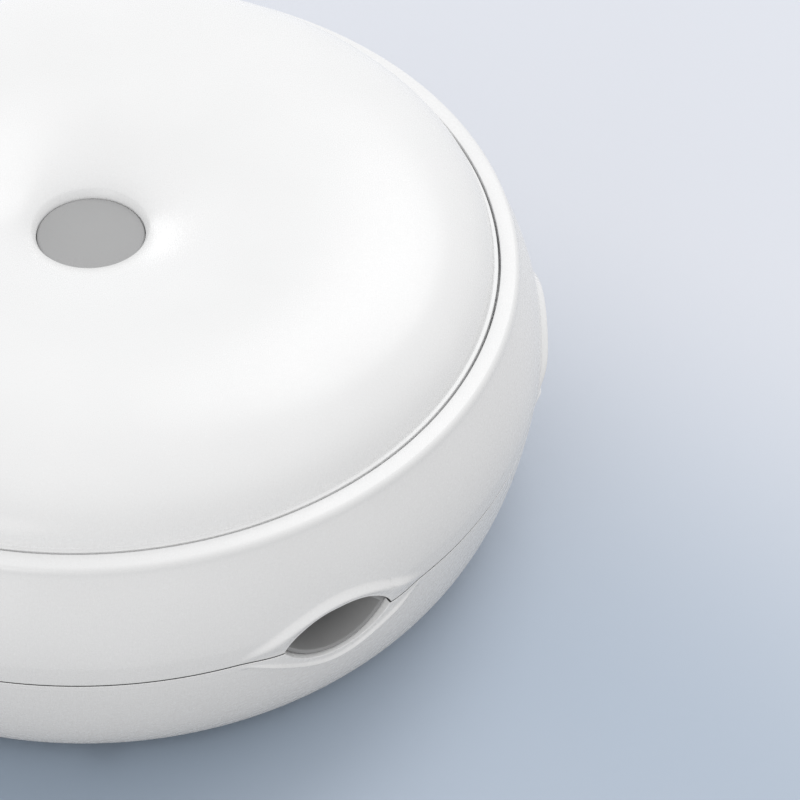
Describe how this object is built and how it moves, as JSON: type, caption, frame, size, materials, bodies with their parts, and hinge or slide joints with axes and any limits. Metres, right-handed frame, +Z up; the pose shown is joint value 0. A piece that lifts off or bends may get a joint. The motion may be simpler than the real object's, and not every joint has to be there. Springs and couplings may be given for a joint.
{
  "type": "automatic cat feather toy",
  "caption": "Round white casing with eye-shaped ports round its seam, a dished top with a push button, and a turning drum inside that pushes a feather wand out through a port.",
  "frame": {"origin": "on the floor, under the centre of the casing, at the underside of the feet", "axes": "+Z up along the drum's axis, +X out through the port that the drum's window faces at rest"},
  "size_m": [0.223, 0.22, 0.0864],
  "materials": {
    "casing": "gloss",
    "button": "satin",
    "liner": "satin",
    "black_plastic": "satin",
    "board": "satin",
    "steel": "satin",
    "gear_plastic": "satin",
    "drum": "satin",
    "brass": "satin",
    "feather": "soft",
    "cell": "gloss",
    "rubber": "matte"
  },
  "bodies": {
    "casing": {"top_cover": "casing", "upper_casing": "casing", "lower_casing": "casing", "port_liner_1": "liner", "port_liner_2": "liner", "port_liner_3": "liner", "port_liner_4": "liner", "port_liner_5": "liner", "port_liner_6": "liner", "button_spring": "steel", "control_board": "board", "mode_switch": "black_plastic", "board_screws": "steel", "cover_screws": "steel", "casing_screws": "steel", "plate_screws": "steel", "gear_plate": "gear_plastic", "turn_motor": "steel", "motor_screws": "steel", "drum_axle": "steel", "axle_clip": "steel", "battery_1": "cell", "battery_2": "cell", "battery_3": "cell", "battery_4": "cell", "contact_plates": "brass", "contact_springs": "steel", "foot_1": "rubber", "foot_2": "rubber", "foot_3": "rubber", "foot_4": "rubber"},
    "drum": {"drum": "drum", "ring_gear": "gear_plastic", "drum_bush": "brass", "rack_guide_front": "gear_plastic", "rack_guide_rear": "gear_plastic", "guide_screws": "steel", "wand_motor": "steel", "motor_strap": "steel", "strap_screws": "steel"},
    "turn_drive": {"turn_shaft": "steel", "turn_pinion": "gear_plastic"},
    "wand": {"wand_rack": "gear_plastic", "feather_rod": "steel", "feather_ferrule": "brass", "feather_left": "feather", "feather_middle": "feather", "feather_right": "feather"},
    "wand_drive": {"wand_shaft": "steel", "wand_pinion": "brass"},
    "button": {"mode_button": "button", "switch_plunger": "black_plastic"},
    "door": {"battery_door": "casing", "door_screw": "steel"}
  },
  "joints": [
    {"name": "drum_turn", "type": "hinge", "parent": "casing", "child": "drum", "pos_m": [0, 0, 0.0261], "axis": [0, 0, 1], "range_deg": [-180, 180]},
    {"name": "turn_pinion_spin", "type": "hinge", "parent": "casing", "child": "turn_drive", "pos_m": [0, -0.0735, 0.0497], "axis": [0, 0, 1], "range_deg": [-1440, 1440]},
    {"name": "wand_slide", "type": "slide", "parent": "drum", "child": "wand", "axis": [1, 0, 0], "range_m": [0, 0.072]},
    {"name": "wand_pinion_spin", "type": "hinge", "parent": "drum", "child": "wand_drive", "pos_m": [-0.011, 0, 0.046], "axis": [0, 1, 0], "range_deg": [-740, 5]},
    {"name": "button_press", "type": "slide", "parent": "casing", "child": "button", "axis": [0, 0, -1], "range_m": [0, 0.0012], "stiffness_N_per_m": 800, "springref_m": -0.001, "deforming": ["button_spring"]},
    {"name": "door_lift", "type": "slide", "parent": "casing", "child": "door", "axis": [0, 0, -1], "range_m": [0, 0.02]}
  ],
  "couplings": [
    {"joint": "turn_pinion_spin", "follows": "drum_turn", "ratio": 8},
    {"joint": "wand_pinion_spin", "follows": "wand_slide", "rad_per_m": -178.57}
  ]
}
